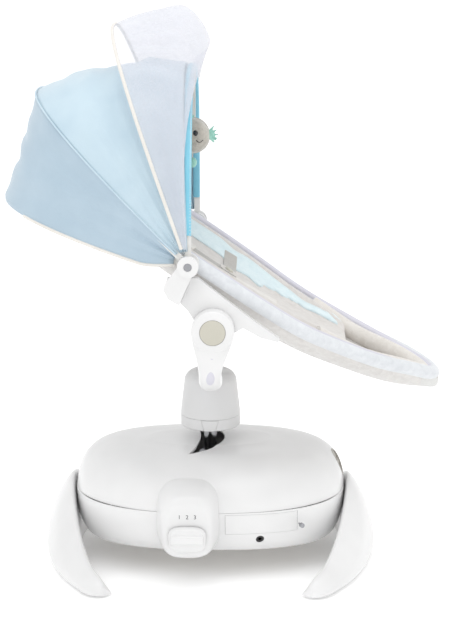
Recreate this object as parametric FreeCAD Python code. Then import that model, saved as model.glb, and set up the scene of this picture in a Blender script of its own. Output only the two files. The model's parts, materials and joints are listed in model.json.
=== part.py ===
import FreeCAD, Part
import math
import os

# Baby swing: a housing on two curved feet, a swinging arm inside it, a cup on a chrome post,
# a forked tube with two recline hubs, and a padded seat with a folding canopy, net and toy.
# +X is towards the baby's feet, +Z is up, and Z = 0 is the floor. Lengths are millimetres.

V = FreeCAD.Vector
ORIGIN = V(0, 0, 0)
X, Y, Z = V(1, 0, 0), V(0, 1, 0), V(0, 0, 1)
os.makedirs("parts", exist_ok=True)

# --- driving dimensions --------------------------------------------------------------------
COLUMN_X = -28.0          # post axis, measured from the middle of the object's length
GAP = 0.4                 # moulding gap between neighbouring plastics
RUN = 0.05                # radial running clearance of a shaft
WALL = 3.0                # housing wall

HOUSING_BOTTOM = 45.0
SEAM_Z = 123.0            # widest line, where dome and lower shell meet
SHOULDER_Z = 190.0
CROWN_Z = 200.0
HALF_LENGTH, HALF_WIDTH = 231.0, 178.0

FOOT_RADIUS = 425.0       # plan radius of the outer floor edge
FOOT_REACH = 284.0        # X of that edge at mid-width
FOOT_SPAN = 37.0          # degrees to each tip
FOOT_HEIGHT = 134.0
TIP_HEIGHT = 32.0
PAD_ANGLE = 32.0          # where the rubber pads sit along each foot

PIVOT_X = -125.0          # vertical axle of the swinging arm
SWING_TRAVEL = 18.0       # degrees each way
POST_R = 11.0
CUP_R = 51.0
CUP_BOTTOM, CUP_SEAM, CUP_TOP = 224.0, 244.0, 321.0

HUB = V(10, 0, 438)       # recline axis
HUB_R = 34.5
BUTTON_R = 20.5
HUB_INNER, HUB_OUTER = 194.0, 220.0
FORK_R = 14.0
FORK_Z = 299.5             # height of the fork's middle, inside the cup

PIVOT = V(-29, 0, 543)    # canopy axis
PLATE_INNER, PLATE_OUTER = 180.0, 193.0
BLOCK_OUTER = 214.0

POD_X, POD_WIDTH = -32.0, 92.0
DIAL_R = 21.0
TOY_Z = 723.0


# --- small helpers -------------------------------------------------------------------------
def save(name, *shapes):
    shape = shapes[0] if len(shapes) == 1 else Part.makeCompound(list(shapes))
    placed = shape.copy()
    placed.translate(V(COLUMN_X, 0, 0))
    placed.exportStep("parts/%s.step" % name)


def cylinder(radius, start, direction, length):
    return Part.makeCylinder(radius, length, start, direction)


def sleeve(outer, inner, start, direction, length):
    return cylinder(outer, start, direction, length).cut(cylinder(inner, start, direction, length))


def box(low, high):
    size = high - low
    return Part.makeBox(size.x, size.y, size.z, low)


def far(shape):
    """The same piece on the far side."""
    return shape.mirror(ORIGIN, Y)


def polygon(points):
    return Part.makePolygon(list(points) + [points[0]])


def side_plate(outline, y_low, y_high, fillet=0.0):
    """A plate with its outline in XZ, between two depths on the near side (-Y)."""
    wire = polygon([V(x, -y_high, z) for x, z in outline])
    plate = Part.Face(wire).extrude(V(0, y_high - y_low, 0))
    if fillet:
        upright = [e for e in plate.Edges if abs(e.tangentAt(e.FirstParameter).y) > 0.9]
        plate = plate.makeFillet(fillet, upright)
    return plate


def superellipse(a, b, power, turns, start=0.0, sweep=2 * math.pi):
    """Points (u, v) along a superellipse with half-axes a and b."""
    points = []
    for i in range(turns):
        t = start + sweep * i / (turns if sweep > 6.2 else turns - 1)
        c, s = math.cos(t), math.sin(t)
        u = a * math.copysign(abs(c) ** (2 / power), c)
        v = b * math.copysign(abs(s) ** (2 / power), s)
        points.append((u, v))
    return points


def closed_spline(points):
    curve = Part.BSplineCurve()
    curve.interpolate(Points=points, PeriodicFlag=True)
    return Part.Wire([curve.toShape()])


def open_spline(points):
    curve = Part.BSplineCurve()
    curve.interpolate(Points=points)
    return curve.toShape()


def oval(a, b, z, power=2.3):
    return closed_spline([V(u, v, z) for u, v in superellipse(a, b, power, 28)])


def rounded_path(points, share=0.45):
    """Straight runs joined by tangent arcs, each as large as its two runs allow."""
    edges, here = [], points[0]
    for before, corner, after in zip(points, points[1:], points[2:]):
        back, ahead = (before - corner), (after - corner)
        cut = share * min(back.Length, ahead.Length)
        a = corner + back.normalize() * cut
        c = corner + ahead.normalize() * cut
        half = a.sub(corner).getAngle(c.sub(corner)) / 2
        radius = cut * math.tan(half)
        middle = ((a + c) * 0.5 - corner)
        reach = cut / math.cos(half) - radius
        b = corner + middle.normalize() * reach
        edges += [Part.LineSegment(here, a).toShape(), Part.Arc(a, b, c).toShape()]
        here = c
    edges.append(Part.LineSegment(here, points[-1]).toShape())
    return Part.Wire(edges)


def pipe(points, radius, share=0.45):
    path = rounded_path(points, share)
    heading = points[1] - points[0]
    profile = Part.Wire([Part.makeCircle(radius, points[0], heading)])
    return path.makePipeShell([profile], True, True)


def blend(value_pairs, x):
    """Straight-line interpolation in a short list of (x, value)."""
    for (x0, v0), (x1, v1) in zip(value_pairs, value_pairs[1:]):
        if x <= x1:
            return v0 + (v1 - v0) * (x - x0) / (x1 - x0)
    return value_pairs[-1][1]


# --- housing ------------------------------------------------------------------------------
def dome_solid(shrink=0.0, foot=0.0):
    """The dome's outer form: sections shrink by the wall, and its skirt starts at SEAM_Z."""
    levels = [
        (HALF_LENGTH, HALF_WIDTH, SEAM_Z - foot),
        (HALF_LENGTH - 2, HALF_WIDTH - 7, 138),
        (HALF_LENGTH - 8, HALF_WIDTH - 22, 158),
        (HALF_LENGTH - 21, HALF_WIDTH - 43, 177),
        (HALF_LENGTH - 41, HALF_WIDTH - 66, SHOULDER_Z),
        (HALF_LENGTH - 70, HALF_WIDTH - 92, 196.5),
        (HALF_LENGTH - 126, HALF_WIDTH - 128, CROWN_Z),
    ]
    wires = []
    for a, b, z in levels:
        drop = shrink if z > 170 else 0.0
        wires.append(oval(a - shrink, b - shrink, z - drop))
    return Part.makeLoft(wires, True)


def lower_solid(shrink=0.0):
    levels = [
        (214, 140, HOUSING_BOTTOM),
        (223, 157, 62),
        (229, 170, 88),
        (HALF_LENGTH, HALF_WIDTH, SEAM_Z - GAP),
    ]
    return Part.makeLoft([oval(a - shrink, b - shrink, z, 2.5) for a, b, z in levels], True)


def arc_slot():
    """Crescent that the post swings in, open right through the top."""
    tip_x, tip_y = -34.0, 88.0
    outer = Part.Arc(V(tip_x, -tip_y, 0), V(24.5, 0, 0), V(tip_x, tip_y, 0)).toShape()
    inner = Part.Arc(V(tip_x, tip_y, 0), V(-17, 0, 0), V(tip_x, -tip_y, 0)).toShape()
    face = Part.Face(Part.Wire([outer, inner]))
    return face.extrude(V(0, 0, 60)).translated(V(0, 0, 165))


DIAL_TILT = math.radians(22)
DIAL_AXIS = V(math.cos(DIAL_TILT), 0, math.sin(DIAL_TILT))
DIAL_FACE = V(221.5, 0, 157)

DOOR = (29.0, 148.0, 83.0, 119.0)   # x from, x to, z from, z to
JACK = V(85, -150, 71)
DOOR_SCREW = V(157, -166, 98)


def outer_housing(grow=0.0):
    lower = lower_solid(-grow)
    upper = dome_solid(-grow, 1.0)
    return lower.fuse(upper)


def near_normal(point):
    """Outward direction of the near wall at a point, level with the floor."""
    slope = (point.x / HALF_LENGTH) ** 1.3 * HALF_WIDTH / HALF_LENGTH
    return V(slope, -1, 0).normalize()


def build_base():
    dome = dome_solid().cut(dome_solid(WALL, 1.0))
    dome = dome.cut(arc_slot())
    dial_bore = cylinder(DIAL_R + 4, DIAL_FACE - DIAL_AXIS * 30, DIAL_AXIS, 60)
    dome = dome.cut(dial_bore)
    save("base_dome", dome)

    wall = lower_solid().cut(lower_solid(WALL))
    x0, x1, z0, z1 = DOOR
    door_prism = box(V(x0, -200, z0), V(x1, -120, z1))
    door = wall.common(door_prism)
    opening = box(V(x0 - GAP, -200, z0 - GAP), V(x1 + GAP, -120, z1 + GAP))
    jack_way = near_normal(JACK)
    wall = wall.cut(opening)
    wall = wall.cut(cylinder(7.0, JACK - jack_way * 20, jack_way, 60))
    screw_way = near_normal(DOOR_SCREW)
    wall = wall.cut(cylinder(4.2, DOOR_SCREW - screw_way * 20, screw_way, 60))
    save("base_lower_shell", wall)
    save("battery_door", door)

    screw_head = cylinder(4.0, DOOR_SCREW - screw_way * 6, screw_way, 5.0)
    screw_shank = cylinder(1.5, DOOR_SCREW - screw_way * 14, screw_way, 9.0)
    save("battery_door_screw", screw_head.fuse(screw_shank))

    socket = sleeve(6.8, 3.2, JACK - jack_way * 14, jack_way, 22.0)
    socket = socket.common(lower_solid(0.6))
    save("dc_socket", socket)

    plate = oval(209, 135, HOUSING_BOTTOM - 2.5, 2.5)
    plate = Part.Face(plate).extrude(V(0, 0, 2.3))
    save("base_bottom_plate", plate)

    cell_r, cell_length = 7.0, 50.0
    tray = box(V(x0 + 5, -134, z0 + 1), V(x1 - 5, -96, z1 - 1))
    hollow = box(V(x0 + 7, -138, z0 + 3), V(x1 - 7, -98, z1 - 3))
    save("battery_box", tray.cut(hollow))
    cells = []
    for i in range(2):
        for y in (-125.0, -108.0):
            start = V(x0 + 8.5 + i * (cell_length + 0.8), y, (z0 + z1) / 2)
            cells.append(cylinder(cell_r, start, X, cell_length))
    save("batteries", *cells)

    holder = sleeve(DIAL_R + 4 - 0.05, DIAL_R + 0.6, DIAL_FACE - DIAL_AXIS * 14, DIAL_AXIS, 40)
    floor = sleeve(DIAL_R + 4 - 0.05, 3 + RUN, DIAL_FACE - DIAL_AXIS * 17, DIAL_AXIS, 3.0)
    save("dial_surround", holder.fuse(floor).common(dome_solid(-0.4)))

    pod = pod_solid().cut(dome_solid()).cut(lower_solid())
    save("selector_pod", pod.cut(slider_way()))

    chassis_foot = cylinder(46, V(PIVOT_X, 0, HOUSING_BOTTOM), Z, 6)
    chassis = chassis_foot.fuse(cylinder(22, V(PIVOT_X, 0, HOUSING_BOTTOM), Z, 92))
    for turn in range(4):
        rib = box(V(0, -3, 0), V(42, 3, 60)).translated(V(PIVOT_X, 0, HOUSING_BOTTOM))
        rib.rotate(V(PIVOT_X, 0, 0), Z, 45 + 90 * turn)
        chassis = chassis.fuse(rib)
    chassis = chassis.cut(cylinder(8, V(PIVOT_X, 0, 40), Z, 120))
    coil_rest = box(V(-20, -24, HOUSING_BOTTOM), V(20, 24, 118))
    bridge = box(V(PIVOT_X, -8, HOUSING_BOTTOM), V(-20, 8, HOUSING_BOTTOM + 30))
    bridge = bridge.cut(cylinder(10, V(PIVOT_X, 0, 40), Z, 120))
    save("pivot_chassis", chassis.fuse(bridge).fuse(coil_rest))
    save("arm_pivot_axle", cylinder(8, V(PIVOT_X, 0, HOUSING_BOTTOM + 1), Z, 124))

    save("drive_coil", sleeve(19, 7, V(0, 0, 118.2), Z, 14))
    save("circuit_board", box(V(60, -80, 60), V(180, 60, 61.6)))
    save("speaker", cylinder(20, V(150, 90, HOUSING_BOTTOM), Z, 16))

    screws = []
    for sx in (-1, 1):
        for sy in (-1, 1):
            at = V(sx * 150, sy * 85, HOUSING_BOTTOM - 4.6)
            screws.append(cylinder(4, at, Z, 2.1).fuse(cylinder(1.8, at, Z, 2.1)))
    save("case_screws", *screws)


def pod_solid():
    """Rounded selector housing, a stack of superellipses seen from the near side."""
    wires = []
    for depth, half_w, half_h in ((130, 54, 62), (170, 52, 61), (196, 47, 57), (209, 41, 50), (214, 31, 38)):
        ring = superellipse(half_w, half_h, 3.0, 28)
        wires.append(closed_spline([V(POD_X + u, -depth, 109 + v) for u, v in ring]))
    return Part.makeLoft(wires, True)


SLIDER_Z, SLIDER_TRAVEL = 92.0, 12.7


def slider_way():
    """Slot in the pod face that the slider's stem runs in."""
    half = 12 + SLIDER_TRAVEL + GAP
    return box(V(POD_X - half, -230, SLIDER_Z - 5 - GAP), V(POD_X + half, -196, SLIDER_Z + 5 + GAP))


def build_slider():
    wires = []
    for depth, half_w, half_h in ((216.0, 31, 21), (221, 31, 21), (226, 28, 18)):
        ring = superellipse(half_w, half_h, 3.2, 24)
        wires.append(closed_spline([V(POD_X + u, -depth, SLIDER_Z + v) for u, v in ring]))
    cap = Part.makeLoft(wires, True)
    ridge = Part.makeCylinder(9, 52, V(POD_X - 26, -222, SLIDER_Z + 1), X)
    ridge = ridge.common(box(V(-200, -229.5, 0), V(200, -218, 300)))
    stem = box(V(POD_X - 12, -217, SLIDER_Z - 5), V(POD_X + 12, -198, SLIDER_Z + 5))
    save("selector_slider", cap.fuse(ridge).fuse(stem))


def build_dial():
    face = DIAL_FACE - DIAL_AXIS * 12
    knob = cylinder(DIAL_R, face, DIAL_AXIS, 10)
    knob = knob.makeFillet(2.0, [knob.Edges[0]])
    grip = box(V(-3, -17, 0), V(3, 17, 3.4))
    grip = grip.rotated(ORIGIN, Y, 90 - math.degrees(DIAL_TILT)).translated(face + DIAL_AXIS * 8.0)
    shaft = cylinder(3, DIAL_FACE - DIAL_AXIS * 22, DIAL_AXIS, 12)
    save("control_dial", knob.fuse(grip).fuse(shaft))


# --- feet ---------------------------------------------------------------------------------
def foot_section(angle, scale=1.0):
    """Blade section in a radial plane: flat sole, bulged outside, thin upper edge."""
    share = abs(angle) / FOOT_SPAN
    height = (TIP_HEIGHT + (FOOT_HEIGHT - TIP_HEIGHT) * math.cos(math.pi / 2 * min(share, 1)) ** 2) * scale
    width = (62 - 20 * share ** 2) * scale
    middle = FOOT_RADIUS - 31 - 15 * (1 - scale)
    outer, inner = middle + width / 2, middle - width / 2
    top = FOOT_RADIUS - 47 + 16 * share ** 2
    top_outer, top_inner = top + 5 * scale, top - 3 * scale
    if share > 0.8:
        top_inner = max(top_inner, inner + 4)
    a, b = math.radians(angle), FOOT_REACH - FOOT_RADIUS

    def at(radius, z):
        return V(b + radius * math.cos(a), radius * math.sin(a), z)

    lean, drop, rise = outer - top_outer, top_inner - inner, height - 4
    poles = [at(inner + (outer - inner) * part, 4) for part in (0.05, 0.35, 0.65, 0.95)]
    poles += [at(outer + 2 - lean * part ** 2.2, 4 + rise * part) for part in (0.15, 0.45, 0.75)]
    poles += [at(top_outer, height + 1), at(top_inner, height + 1)]
    poles += [at(inner - 1 + drop * part ** 0.9, 4 + rise * part) for part in (0.75, 0.45, 0.15)]
    curve = Part.BSplineCurve()
    curve.buildFromPoles(poles, True, 3)
    return Part.Wire([curve.toShape()])


def build_feet():
    steps = 7
    angles = [FOOT_SPAN * i / steps for i in range(-steps, steps + 1)]
    sections = [foot_section(a, 0.90 if abs(a) > FOOT_SPAN - 0.1 else 1.0) for a in angles]
    sections = [foot_section(-FOOT_SPAN - 1.6, 0.55)] + sections + [foot_section(FOOT_SPAN + 1.6, 0.55)]
    blade = Part.makeLoft(sections, True)
    blade = blade.cut(outer_housing(1.0))
    save("foot_front", blade)
    save("foot_rear", blade.mirror(ORIGIN, X))
    pads = []
    for sx in (-1, 1):
        for sy in (-1, 1):
            a = math.radians(PAD_ANGLE)
            reach = FOOT_RADIUS - 30
            x = sx * (FOOT_REACH - FOOT_RADIUS + reach * math.cos(a))
            pad = cylinder(11, V(x, sy * reach * math.sin(a), 0), Z, 8)
            pads.append(pad.cut(blade if sx > 0 else blade.mirror(ORIGIN, X)))
    save("foot_pads", *pads)


# --- swinging arm and cup -----------------------------------------------------------------
def build_arm():
    level, thick = 142.0, 16.0
    hub = cylinder(26, V(PIVOT_X, 0, level - 4), Z, thick + 8)
    boss = cylinder(20, V(0, 0, level), Z, thick + 16)
    bar = box(V(PIVOT_X, -15, level), V(0, 15, level + thick))
    arm = hub.fuse(bar).fuse(boss)
    arm = arm.cut(cylinder(13, V(PIVOT_X, 0, 100), Z, 100))
    arm = arm.cut(cylinder(POST_R, V(0, 0, level + 4), Z, 100))
    save("swing_arm", arm)
    save("arm_bearing", sleeve(13, 8 + RUN, V(PIVOT_X, 0, level - 4), Z, thick + 8))
    save("drive_magnet", cylinder(14, V(0, 0, level - 7), Z, 7))

    post = sleeve(POST_R, 8, V(0, 0, level + 4), Z, 284 - level - 4)
    save("post", post)

    profile = polygon([V(POST_R, 0, CUP_BOTTOM), V(CUP_R - 2, 0, CUP_BOTTOM), V(CUP_R, 0, CUP_BOTTOM + 2),
                       V(CUP_R, 0, CUP_SEAM - GAP), V(POST_R, 0, CUP_SEAM - GAP)])
    ring = Part.Face(profile).revolve(ORIGIN, Z, 360)
    save("cup_ring", ring.cut(release_wedge(GAP, -36)))
    button = release_wedge(0.0, -40).common(cylinder(CUP_R, V(0, 0, 200), Z, 60))
    save("release_button", button)
    save("post_nut", sleeve(16, POST_R, V(0, 0, 276), Z, 8))


def release_wedge(gap, back):
    """Trapezoid catch on the near face of the ring, wider at the top."""
    top, bottom = 14.5 + gap, 9.5 + gap
    low, high = CUP_BOTTOM + 1 - gap, CUP_SEAM - GAP - 1 + gap
    wire = polygon([V(-bottom, back, low), V(bottom, back, low), V(top, back, high), V(-top, back, high)])
    return Part.Face(wire).extrude(V(0, -60 - back, 0))


# --- turntable: cup body, fork and hubs ---------------------------------------------------
def fork_points(side=-1):
    return [V(4, 0, FORK_Z), V(5, side * 192, 357), V(HUB.x - 1, side * 205.5, HUB.z - 38)]


def fork_solid():
    near = pipe(fork_points(-1), FORK_R)
    near = near.common(box(V(-60, -300, 200), V(80, 0, 500)))
    ball = Part.makeSphere(FORK_R, V(4, 0, FORK_Z))
    return near.fuse(far(near)).fuse(ball)


def hub_shell():
    """Neck and round hub on the near side, wrapped round the fork's end."""
    rings = [
        (V(4.6, -146, 342.5), V(0, -1, 0.32), 17.0, 17.0),
        (V(5, -176, 354), V(0, -1, 0.65), 18.5, 17.0),
        (V(5.6, -195, 374), V(0, -0.45, 1), 19.5, 15.5),
        (V(7.5, -205, 396), V(0, -0.12, 1), 25.0, 13.5),
        (V(9.2, -207, 418), V(0, 0, 1), 31.5, 13.0),
        (V(10, -207, HUB.z), V(0, 0, 1), HUB_R - 0.3, 13.0),
    ]
    wires = []
    for centre, heading, half_x, half_y in rings:
        across = heading.normalize().cross(X).normalize()
        ring = superellipse(half_x, half_y, 2.6, 20)
        wires.append(closed_spline([centre + X * u + across * v for u, v in ring]))
    neck = Part.makeLoft(wires, True)
    disc = cylinder(HUB_R, V(HUB.x, -HUB_OUTER, HUB.z), Y, HUB_OUTER - HUB_INNER)
    disc = disc.makeFillet(4.0, [e for e in disc.Edges if e.Closed and e.CenterOfMass.y < -HUB_OUTER + 1])
    return neck.fuse(disc)


def build_turntable():
    shoulder = Part.Arc(V(45, 0, 300), V(39.5, 0, 314.5), V(26, 0, CUP_TOP)).toShape()
    lines = [V(45, 0, 300), V(CUP_R, 0, CUP_SEAM + 4), V(CUP_R, 0, CUP_SEAM), V(15, 0, CUP_SEAM),
             V(15, 0, 275), V(20, 0, 275), V(20, 0, 288), V(0, 0, 288), V(0, 0, CUP_TOP), V(26, 0, CUP_TOP)]
    edges = [Part.LineSegment(a, b).toShape() for a, b in zip(lines, lines[1:])]
    cup = Part.Face(Part.Wire(edges + [shoulder])).revolve(ORIGIN, Z, 360)
    fork = fork_solid()
    save("cup_body", cup.cut(fork))
    save("turn_bearing", sleeve(15, POST_R + RUN, V(0, 0, CUP_SEAM), Z, 31))
    save("fork_tube", fork)

    pin_start = V(HUB.x, -PLATE_INNER - 26, HUB.z)
    pin = cylinder(6, pin_start, Y, 25)
    shell = hub_shell().cut(fork)
    shell = shell.cut(cylinder(BUTTON_R + GAP, V(HUB.x, -HUB_OUTER - 5, HUB.z), Y, 15))
    shell = shell.cut(cylinder(6, pin_start, Y, 40))
    save("hub_shell_near", shell)
    save("hub_shell_far", far(shell))
    pin = pin.cut(fork)
    save("recline_pins", pin, far(pin))

    button = cylinder(BUTTON_R, V(HUB.x, -HUB_OUTER - 1, HUB.z), Y, 6.5)
    button = button.makeFillet(1.5, [e for e in button.Edges if e.Closed and e.CenterOfMass.y < -HUB_OUTER])
    save("recline_button_near", button)
    save("recline_button_far", far(button))


# --- seat ---------------------------------------------------------------------------------
RIM = [(-262, 690), (-245, 705), (-180, 663), (-2, 545), (68, 497), (155, 437), (236, 396), (308, 363),
       (361, 344), (394, 318)]
HALF = [(-262, 60), (-250, 96), (-225, 128), (-180, 154), (-110, 172), (-30, 177), (68, 172), (155, 150),
        (236, 120), (308, 84), (361, 48), (385, 26), (394, 14)]
DEPTH = [(-262, 24), (-245, 44), (-180, 66), (-60, 84), (0, 82), (68, 76), (155, 66), (236, 60),
         (308, 54), (361, 46), (394, 26)]
SKIN = 12.0


def seat_section(x, inset=0.0, lift=0.0):
    """Closed section at x: a hanging curve below a straight lid at rim height."""
    half = blend(HALF, x) - inset
    depth = blend(DEPTH, x) - inset + lift
    top = blend(RIM, x) + lift
    arc = superellipse(half, depth, 2.5, 13, math.pi, math.pi)
    points = [V(x, u, top + v) for u, v in arc]
    return Part.Wire([open_spline(points), Part.LineSegment(points[-1], points[0]).toShape()])


def seat_form(stations, inset=0.0, lift=0.0):
    return Part.makeLoft([seat_section(x, inset, lift) for x in stations], True)


def rim_point(x, side, inset=8.0, drop=9.0):
    return V(x, side * (blend(HALF, x) - inset), blend(RIM, x) - drop)


def build_seat():
    outer_x = [-262, -245, -215, -180, -110, -30, 60, 155, 236, 308, 361, 385, 394]
    inner_x = [-248, -230, -200, -165, -100, -30, 60, 155, 236, 308, 350, 374]
    shell = seat_form(outer_x).cut(seat_form(inner_x, SKIN, 6))
    save("seat_sling", shell)

    half_loop = [V(-243, 0, 690), rim_point(-243, -1, 30, 12), rim_point(-195, -1), rim_point(-110, -1),
                 rim_point(-20, -1), rim_point(68, -1), rim_point(155, -1), rim_point(236, -1),
                 rim_point(308, -1), rim_point(361, -1, 12, 12), V(378, 0, 322)]
    tube = pipe(half_loop, 7.0)
    tube = tube.common(box(V(-400, -300, 200), V(500, 0, 900)))
    save("seat_frame_tube", tube.fuse(far(tube)))

    cushion_x = [-205, -160, -90, -10, 60, 120, 180, 235]
    bed = seat_form(cushion_x, SKIN + 1.5, -10)
    lid = seat_form([x for x in [-230] + cushion_x + [260]], SKIN + 24, 30)
    insert = bed.cut(lid).cut(shell)
    save("seat_insert", insert)

    pillow = Part.makeSphere(1, ORIGIN)
    matrix = FreeCAD.Matrix()
    matrix.scale(V(46, 78, 13))
    pillow = pillow.transformGeometry(matrix)
    pillow.rotate(ORIGIN, Y, 33)
    pillow.translate(V(-150, 0, 622))
    save("head_pillow", pillow.cut(insert))
    return insert


def bed_point(x, y, rise):
    """A point a little above the insert's upper surface."""
    half = blend(HALF, x) - SKIN - 24
    depth = blend(DEPTH, x) - SKIN - 24 + 30
    lower = depth * (1 - abs(y / half) ** 2.5) ** (1 / 2.5)
    return V(x, y, blend(RIM, x) + 30 - lower + rise)


def strap(points, width_axis, width, thick):
    """Flat webbing through a few points, as a chain of thin boxes with shared mitres."""
    half = width_axis * (width / 2)
    upper, lower = [], []
    for p in points:
        upper.append(p + V(0, 0, thick))
        lower.append(p)
    outline = polygon([p - half for p in upper + lower[::-1]])
    return Part.Face(outline).extrude(half * 2)


def build_harness():
    shoulder = []
    for y in (-42.0, 42.0):
        points = [bed_point(x, y, 4) for x in (-110, -70, -30, 10)]
        shoulder.append(strap([V(p.x, y, p.z) for p in points], Y, 26, 4))
    save("shoulder_straps", *shoulder)
    crotch = [bed_point(x, 0, 4) for x in (52, 80, 108)]
    save("crotch_strap", strap(crotch, Y, 28, 4))
    centre = bed_point(30, 0, 8)
    buckle = box(V(-16, -14, -5), V(16, 14, 3))
    buckle = buckle.makeFillet(5, [e for e in buckle.Edges if abs(e.tangentAt(e.FirstParameter).z) > 0.9])
    buckle = buckle.rotated(ORIGIN, Y, 33).translated(centre + V(0, 0, 4))
    save("harness_buckle", buckle)
    waist = []
    for side in (-1, 1):
        line = [V(30, side * y, bed_point(30, side * y, 5).z) for y in (24, 60, 96)]
        outline = polygon(line + [p + V(0, 0, 4) for p in line[::-1]])
        waist.append(Part.Face(outline).extrude(V(20, 0, -13)))
    save("waist_straps", *waist)


def bracket_plate():
    outline = [(-24, 521), (-14, 521), (34, 483), (80, 448), (117, 422), (114, 417), (86, 424), (58, 440),
               (44, 432), (10, 404), (-24, 432), (-20, 452), (-30, 468), (-42, 480)]
    plate = side_plate(outline, PLATE_INNER, PLATE_OUTER, 2.0)
    plate = plate.fuse(cylinder(HUB_R - 1, V(HUB.x, -PLATE_OUTER, HUB.z), Y, PLATE_OUTER - PLATE_INNER))
    tongue = side_plate([(-42, 480), (-24, 521), (-18, 548), (-40, 548), (-66, 506), (-60, 490)],
                        PLATE_INNER, PLATE_INNER + 6)
    disc = cylinder(17, V(PIVOT.x, -PLATE_INNER - 6, PIVOT.z), Y, 6)
    plate = plate.fuse(tongue).fuse(disc)
    plate = plate.cut(cylinder(6 + RUN, V(HUB.x, -220, HUB.z), Y, 60))
    return plate.cut(cylinder(4, V(PIVOT.x, -220, PIVOT.z), Y, 60))


def joint_block():
    foot = side_plate([(-43, 481), (-25, 522), (-62, 522), (-68, 506), (-60, 491)],
                      PLATE_INNER + 6, BLOCK_OUTER, 2.0)
    cheek = side_plate([(-25, 520), (-17, 545), (-41, 548), (-62, 520)], BLOCK_OUTER - 5.5, BLOCK_OUTER)
    disc = cylinder(17, V(PIVOT.x, -BLOCK_OUTER - 3, PIVOT.z), Y, 8.5)
    block = foot.fuse(cheek).fuse(disc)
    block = block.cut(cylinder(6.6, V(PIVOT.x, -BLOCK_OUTER - 3, PIVOT.z), Y, 3.2))
    return block.cut(cylinder(4, V(PIVOT.x, -230, PIVOT.z), Y, 60))


def build_brackets():
    plate, block = bracket_plate(), joint_block()
    save("side_bracket_near", plate)
    save("side_bracket_far", far(plate))
    save("joint_block_near", block)
    save("joint_block_far", far(block))
    screw = cylinder(4, V(PIVOT.x, -BLOCK_OUTER + 0.2, PIVOT.z), Y, BLOCK_OUTER - PLATE_INNER)
    head = cylinder(6.2, V(PIVOT.x, -BLOCK_OUTER - 2.4, PIVOT.z), Y, 2.6)
    screw = screw.fuse(head)
    save("canopy_pivot_screws", screw, far(screw))
    bolts = []
    for x in (-8.0, 84.0):
        z = blend([(-8, 497), (84, 436)], x)
        bolt = cylinder(3, V(x, -PLATE_OUTER + 2, z), Y, 20)
        bolts += [bolt, far(bolt)]
    save("frame_bolts", *bolts)


# --- canopy, net and toy ------------------------------------------------------------------
HOOPS = {                  # angle above +X, apex radius, half-width at the pivot
    "rear": (164.2, 319.0, 192.0),
    "mid": (134.9, 357.0, 202.0),
    "net": (109.5, 383.0, 207.0),
    "front": (90.0, 295.0, 197.0),
}
BAND = 4.0                 # radial thickness of a bow


def bow_curve(name, grow=0.0):
    """Points along a bow in its own plane, from the near leg over the apex to the far leg."""
    angle, radius, half = HOOPS[name]
    out = V(math.cos(math.radians(angle)), 0, math.sin(math.radians(angle)))
    arc = superellipse(half + grow, radius + grow, 2.7, 21, math.pi, -math.pi)
    return [PIVOT + Y * u + out * v for u, v in arc]


def bow(name, width):
    """Flat bent strip with an eyelet round the pivot at each leg."""
    angle, _, half = HOOPS[name]
    outer, inner = bow_curve(name), bow_curve(name, -BAND)
    edges = [open_spline(outer), Part.LineSegment(outer[-1], inner[-1]).toShape(),
             open_spline(inner[::-1]), Part.LineSegment(inner[0], outer[0]).toShape()]
    slope = math.radians(angle)
    normal = V(-math.sin(slope), 0, math.cos(slope))
    strip = Part.Face(Part.Wire(edges)).extrude(normal * width).translated(normal * (-width / 2))
    eye = cylinder(11, V(PIVOT.x, -half, PIVOT.z), Y, BAND)
    bore = cylinder(4 + RUN, V(PIVOT.x, -half - 1, PIVOT.z), Y, BAND + 3)
    return strip.fuse(eye).fuse(far(eye)).cut(bore).cut(far(bore))


def band_wire(points, inner):
    return Part.Wire([open_spline(points), Part.LineSegment(points[-1], inner[-1]).toShape(),
                      open_spline(inner[::-1]), Part.LineSegment(inner[0], points[0]).toShape()])


def build_canopy():
    save("rear_hoop", bow("rear", 10))
    save("mid_bow", bow("mid", 10))
    save("net_hoop", bow("net", 9))
    save("front_bow", bow("front", 10))
    save("canopy_rear_panel", rear_panel())
    save("canopy_front_panel", front_panel())
    save("insect_net", net_solid())


def arch(angle, radius, half, start):
    out = V(math.cos(math.radians(angle)), 0, math.sin(math.radians(angle)))
    arc = superellipse(half, radius, 2.7, 21, math.pi, -math.pi)
    return [PIVOT + Y * u + out * max(v, start) for u, v in arc]


def skin_between(stations, skin, start=22.0):
    """Ruled skin over a fan of arches, each given as angle, radius and half-width."""
    wires = []
    for angle, radius, half in stations:
        outer, inner = arch(angle, radius + skin, half + skin, start), arch(angle, radius, half, start)
        wires.append(band_wire(outer, inner))
    return Part.makeLoft(wires, True, True)


def rear_panel():
    rear_angle, rear_radius, rear_half = HOOPS["rear"]
    mid_angle, mid_radius, mid_half = HOOPS["mid"]
    stations = [(rear_angle, rear_radius + 0.6, rear_half + 0.6),
                (mid_angle + 1.0, mid_radius + 5.0, mid_half + 2.8)]
    return skin_between(stations, 2.5, 60.0)


def front_panel():
    mid_angle, mid_radius, mid_half = HOOPS["mid"]
    stations = [(mid_angle - 1.6, mid_radius + 4.4, mid_half + 1.4), (118, 333, 198.2), (94, 298, 199)]
    return skin_between(stations, 2.5, 60.0)


def net_solid():
    net_angle, net_radius, net_half = HOOPS["net"]
    stations = [(net_angle - 1.2, net_radius + 0.4, net_half + 0.4), (98, 388, 208), (88, 383, 208),
                (82, 330, 206)]
    return skin_between(stations, 1.6)


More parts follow.
